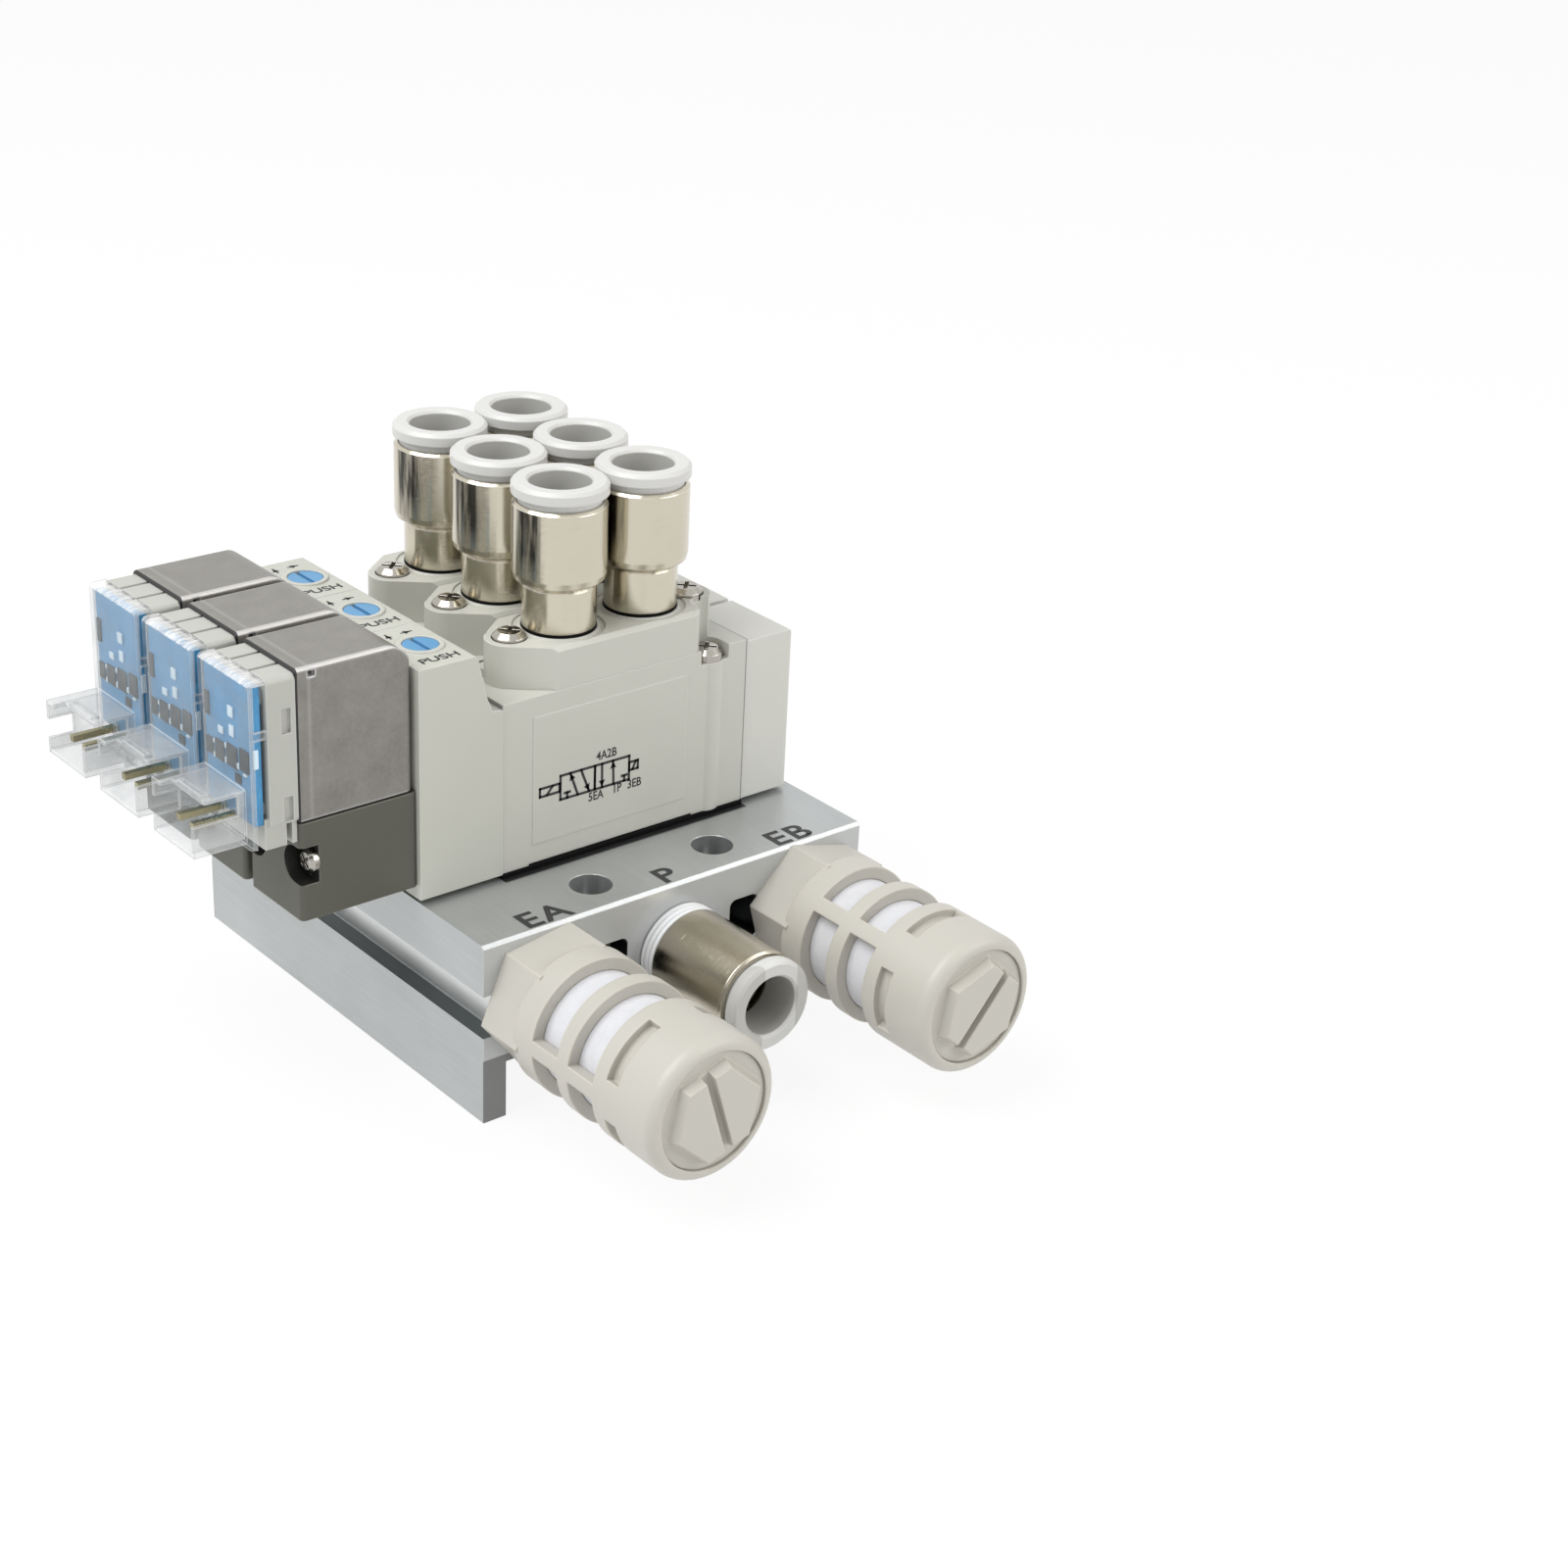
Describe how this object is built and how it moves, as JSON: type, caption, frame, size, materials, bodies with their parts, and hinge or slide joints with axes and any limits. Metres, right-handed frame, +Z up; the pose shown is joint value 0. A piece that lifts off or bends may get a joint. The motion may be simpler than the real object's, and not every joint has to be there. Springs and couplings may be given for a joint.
{
  "type": "solenoid valve manifold",
  "caption": "Pneumatic solenoid valve manifold: slim body-ported valves on an aluminium bar base with push-in fittings and slotted exhaust silencers.",
  "frame": {"origin": "centre of the base's four-hole bolt pattern, on the plane of the feet", "axes": "+X along the valves from the plug sockets to the end plates, +Y along the row away from the silencers, +Z up"},
  "size_m": [0.0713, 0.0798, 0.0582],
  "materials": {
    "base_aluminium": "brushed",
    "seal_black": "matt",
    "screw_steel": "nickel plated",
    "body_grey": "satin",
    "spool_aluminium": "ground",
    "plate_grey": "satin",
    "nickel": "nickel plated",
    "ring_white": "satin",
    "override_blue": "satin",
    "coil_steel": "satin",
    "pilot_dark": "satin",
    "board_blue": "satin",
    "pin_brass": "bright",
    "clear_plastic": "clear",
    "seal_white": "satin",
    "silencer_beige": "satin",
    "element_white": "porous"
  },
  "bodies": {
    "manifold": {"manifold_base": "base_aluminium", "gaskets": "seal_black", "port_plugs": "screw_steel", "valve_body_1": "body_grey", "valve_body_2": "body_grey", "valve_body_3": "body_grey", "end_plate_1": "plate_grey", "end_plate_2": "plate_grey", "end_plate_3": "plate_grey", "port_plate_1": "body_grey", "port_plate_2": "body_grey", "port_plate_3": "body_grey", "fitting_barrels_1": "nickel", "fitting_barrels_2": "nickel", "fitting_barrels_3": "nickel", "adapter_plate_1": "plate_grey", "adapter_plate_2": "plate_grey", "adapter_plate_3": "plate_grey", "coil_cover_1": "coil_steel", "coil_cover_2": "coil_steel", "coil_cover_3": "coil_steel", "pilot_body_1": "pilot_dark", "pilot_body_2": "pilot_dark", "pilot_body_3": "pilot_dark", "terminal_housing_1": "plate_grey", "terminal_housing_2": "plate_grey", "terminal_housing_3": "plate_grey", "circuit_boards": "board_blue", "terminal_pins": "pin_brass", "connector_cover_1": "clear_plastic", "connector_cover_2": "clear_plastic", "connector_cover_3": "clear_plastic", "supply_fitting": "nickel", "supply_seal": "seal_white", "collets": "pin_brass", "tube_seals": "seal_black", "seat_rings": "seal_black", "silencer_housing_left": "silencer_beige", "silencer_housing_right": "silencer_beige", "silencer_elements": "element_white", "silencer_caps": "silencer_beige", "valve_screws": "screw_steel", "port_plate_screws": "screw_steel", "pilot_screws": "screw_steel"},
    "release_ring_a1": {"release_ring_a1": "ring_white"},
    "release_ring_b1": {"release_ring_b1": "ring_white"},
    "release_ring_a2": {"release_ring_a2": "ring_white"},
    "release_ring_b2": {"release_ring_b2": "ring_white"},
    "release_ring_a3": {"release_ring_a3": "ring_white"},
    "release_ring_b3": {"release_ring_b3": "ring_white"},
    "release_ring_p": {"release_ring_p": "ring_white"},
    "override_1": {"override_seal_1": "seal_black"},
    "override_button_1": {"override_button_1": "override_blue"},
    "spool_1": {"spool_1": "spool_aluminium"},
    "override_2": {"override_seal_2": "seal_black"},
    "override_button_2": {"override_button_2": "override_blue"},
    "spool_2": {"spool_2": "spool_aluminium"},
    "override_3": {"override_seal_3": "seal_black"},
    "override_button_3": {"override_button_3": "override_blue"},
    "spool_3": {"spool_3": "spool_aluminium"}
  },
  "joints": [
    {"name": "release_ring_a1_push", "type": "slide", "parent": "manifold", "child": "release_ring_a1", "axis": [0, 0, -1], "range_m": [0, 0.0006], "stiffness_N_per_m": 400},
    {"name": "release_ring_b1_push", "type": "slide", "parent": "manifold", "child": "release_ring_b1", "axis": [0, 0, -1], "range_m": [0, 0.0006], "stiffness_N_per_m": 400},
    {"name": "release_ring_a2_push", "type": "slide", "parent": "manifold", "child": "release_ring_a2", "axis": [0, 0, -1], "range_m": [0, 0.0006], "stiffness_N_per_m": 400},
    {"name": "release_ring_b2_push", "type": "slide", "parent": "manifold", "child": "release_ring_b2", "axis": [0, 0, -1], "range_m": [0, 0.0006], "stiffness_N_per_m": 400},
    {"name": "release_ring_a3_push", "type": "slide", "parent": "manifold", "child": "release_ring_a3", "axis": [0, 0, -1], "range_m": [0, 0.0006], "stiffness_N_per_m": 400},
    {"name": "release_ring_b3_push", "type": "slide", "parent": "manifold", "child": "release_ring_b3", "axis": [0, 0, -1], "range_m": [0, 0.0006], "stiffness_N_per_m": 400},
    {"name": "release_ring_p_push", "type": "slide", "parent": "manifold", "child": "release_ring_p", "axis": [0, 1, 0], "range_m": [0, 0.0006], "stiffness_N_per_m": 400},
    {"name": "override_1_push", "type": "slide", "parent": "manifold", "child": "override_1", "axis": [0, 0, -1], "range_m": [0, 0.0006], "stiffness_N_per_m": 300},
    {"name": "override_1_turn", "type": "hinge", "parent": "override_1", "child": "override_button_1", "pos_m": [-0.0203, -0.0105, 0.0444], "axis": [0, 0, -1], "range_deg": [0, 90]},
    {"name": "spool_1_shift", "type": "slide", "parent": "manifold", "child": "spool_1", "axis": [1, 0, 0], "range_m": [0, 0.0015]},
    {"name": "override_2_push", "type": "slide", "parent": "manifold", "child": "override_2", "axis": [0, 0, -1], "range_m": [0, 0.0006], "stiffness_N_per_m": 300},
    {"name": "override_2_turn", "type": "hinge", "parent": "override_2", "child": "override_button_2", "pos_m": [-0.0203, 0, 0.0444], "axis": [0, 0, -1], "range_deg": [0, 90]},
    {"name": "spool_2_shift", "type": "slide", "parent": "manifold", "child": "spool_2", "axis": [1, 0, 0], "range_m": [0, 0.0015]},
    {"name": "override_3_push", "type": "slide", "parent": "manifold", "child": "override_3", "axis": [0, 0, -1], "range_m": [0, 0.0006], "stiffness_N_per_m": 300},
    {"name": "override_3_turn", "type": "hinge", "parent": "override_3", "child": "override_button_3", "pos_m": [-0.0203, 0.0105, 0.0444], "axis": [0, 0, -1], "range_deg": [0, 90]},
    {"name": "spool_3_shift", "type": "slide", "parent": "manifold", "child": "spool_3", "axis": [1, 0, 0], "range_m": [0, 0.0015]}
  ]
}
